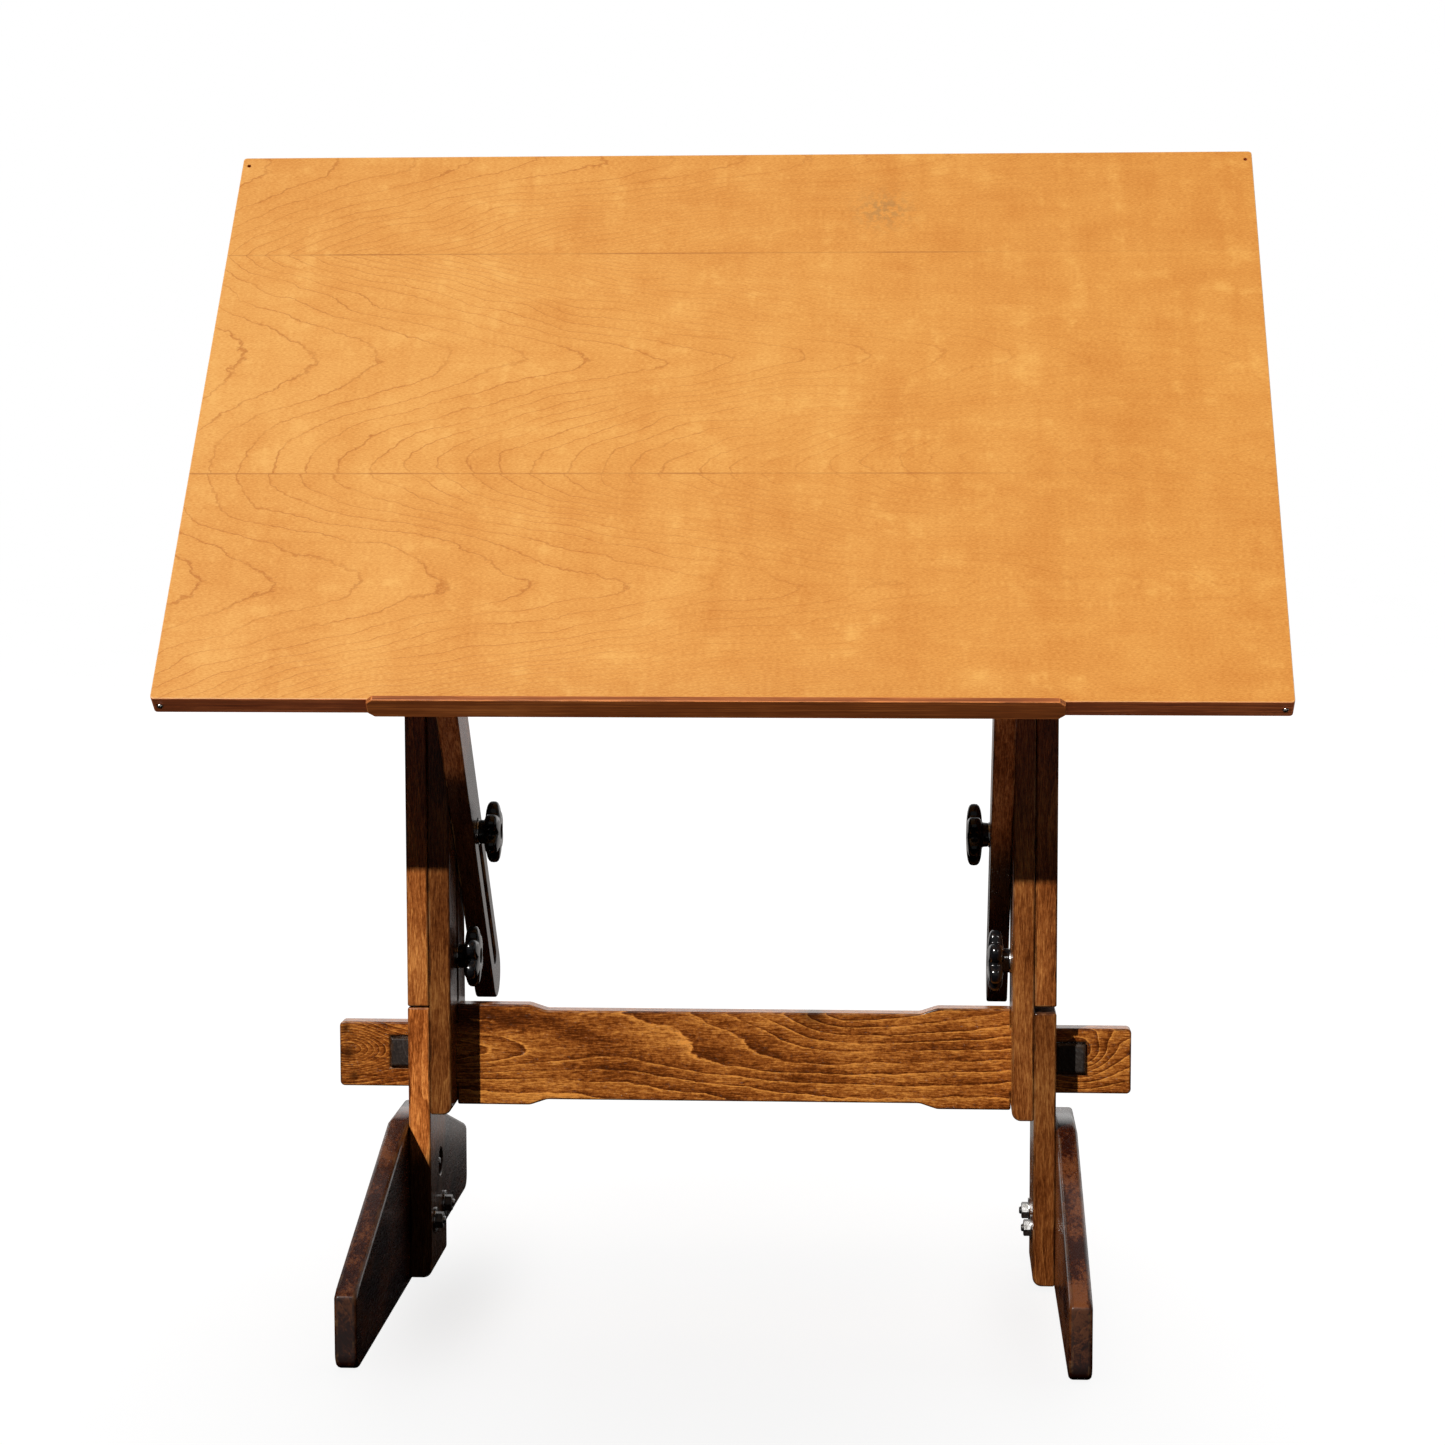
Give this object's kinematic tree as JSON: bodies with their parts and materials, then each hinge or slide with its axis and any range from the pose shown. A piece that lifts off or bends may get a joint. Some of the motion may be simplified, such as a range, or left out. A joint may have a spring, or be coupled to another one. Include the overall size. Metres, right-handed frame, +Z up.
{
  "type": "drafting table",
  "caption": "Wooden drafting table: tilting board with pencil ledge on sliding posts, slotted tilt struts with clamp knobs, wedged stretcher and splayed feet.",
  "frame": {"origin": "on the floor, midway between the feet and on the centre plane of the posts", "axes": "+X to the right of the person at the table, +Y away from that person, +Z up"},
  "size_m": [0.914, 0.62, 0.9879],
  "materials": {
    "board_veneer": "satin varnish over honey-coloured maple veneer",
    "ledge_wood": "satin varnish over mid-brown hardwood",
    "frame_wood": "glossy varnish over walnut-stained hardwood",
    "wedge_wood": "dark-stained hardwood",
    "plated_steel": "bright zinc plate",
    "black_plastic": "gloss moulded"
  },
  "bodies": {
    "base": {"foot_left": "frame_wood", "foot_right": "frame_wood", "leg_left": "frame_wood", "leg_right": "frame_wood", "guide_post_left": "frame_wood", "guide_post_right": "frame_wood", "stretcher": "frame_wood", "foot_bolts": "plated_steel", "foot_washers": "plated_steel", "foot_nuts": "plated_steel", "guide_screws": "plated_steel"},
    "carriage": {"sliding_post_left": "frame_wood", "sliding_post_right": "frame_wood", "tilt_bolts": "plated_steel", "height_bolts": "plated_steel", "tilt_washers": "plated_steel", "height_washers": "plated_steel"},
    "board": {"drawing_board": "board_veneer", "pencil_ledge": "ledge_wood", "cleat_left": "frame_wood", "cleat_right": "frame_wood", "cleat_screws": "plated_steel", "edge_screws": "plated_steel", "pivot_bolts": "plated_steel", "pivot_washers": "plated_steel", "pivot_nuts": "plated_steel", "hinge_bolts": "plated_steel", "hinge_nuts": "plated_steel"},
    "strut_left": {"tilt_strut_left": "frame_wood"},
    "wedge_left": {"wedge_left": "wedge_wood"},
    "tilt_knob_left": {"tilt_knob_left": "black_plastic"},
    "height_knob_left": {"height_knob_left": "black_plastic"},
    "strut_right": {"tilt_strut_right": "frame_wood"},
    "wedge_right": {"wedge_right": "wedge_wood"},
    "tilt_knob_right": {"tilt_knob_right": "black_plastic"},
    "height_knob_right": {"height_knob_right": "black_plastic"}
  },
  "joints": [
    {"name": "height_slide", "type": "slide", "parent": "base", "child": "carriage", "axis": [0, 0, 1], "range_m": [-0.0008, 0.148]},
    {"name": "board_tilt", "type": "hinge", "parent": "carriage", "child": "board", "pos_m": [0, 0, 0.63], "axis": [1, 0, 0], "range_deg": [-49.2, 1]},
    {"name": "strut_swing_left", "type": "hinge", "parent": "board", "child": "strut_left", "pos_m": [-0.23225, -0.13186, 0.55835], "axis": [1, 0, 0], "range_deg": [-0.74, 36.41]},
    {"name": "wedge_draw_left", "type": "slide", "parent": "base", "child": "wedge_left", "axis": [0, -1, 0], "range_m": [0, 0.06]},
    {"name": "tilt_knob_turn_left", "type": "hinge", "parent": "carriage", "child": "tilt_knob_left", "pos_m": [-0.2115, 0, 0.391], "axis": [1, 0, 0], "continuous": true},
    {"name": "height_knob_turn_left", "type": "hinge", "parent": "carriage", "child": "height_knob_left", "pos_m": [-0.2306, 0, 0.281], "axis": [1, 0, 0], "continuous": true},
    {"name": "strut_swing_right", "type": "hinge", "parent": "board", "child": "strut_right", "pos_m": [0.23225, -0.13186, 0.55835], "axis": [1, 0, 0], "range_deg": [-0.74, 36.41]},
    {"name": "wedge_draw_right", "type": "slide", "parent": "base", "child": "wedge_right", "axis": [0, -1, 0], "range_m": [0, 0.06]},
    {"name": "tilt_knob_turn_right", "type": "hinge", "parent": "carriage", "child": "tilt_knob_right", "pos_m": [0.2115, 0, 0.391], "axis": [1, 0, 0], "continuous": true},
    {"name": "height_knob_turn_right", "type": "hinge", "parent": "carriage", "child": "height_knob_right", "pos_m": [0.2306, 0, 0.281], "axis": [1, 0, 0], "continuous": true}
  ],
  "couplings": [
    {"joint": "strut_swing_left", "follows": "board_tilt", "ratio": -0.74},
    {"joint": "strut_swing_right", "follows": "board_tilt", "ratio": -0.74}
  ]
}
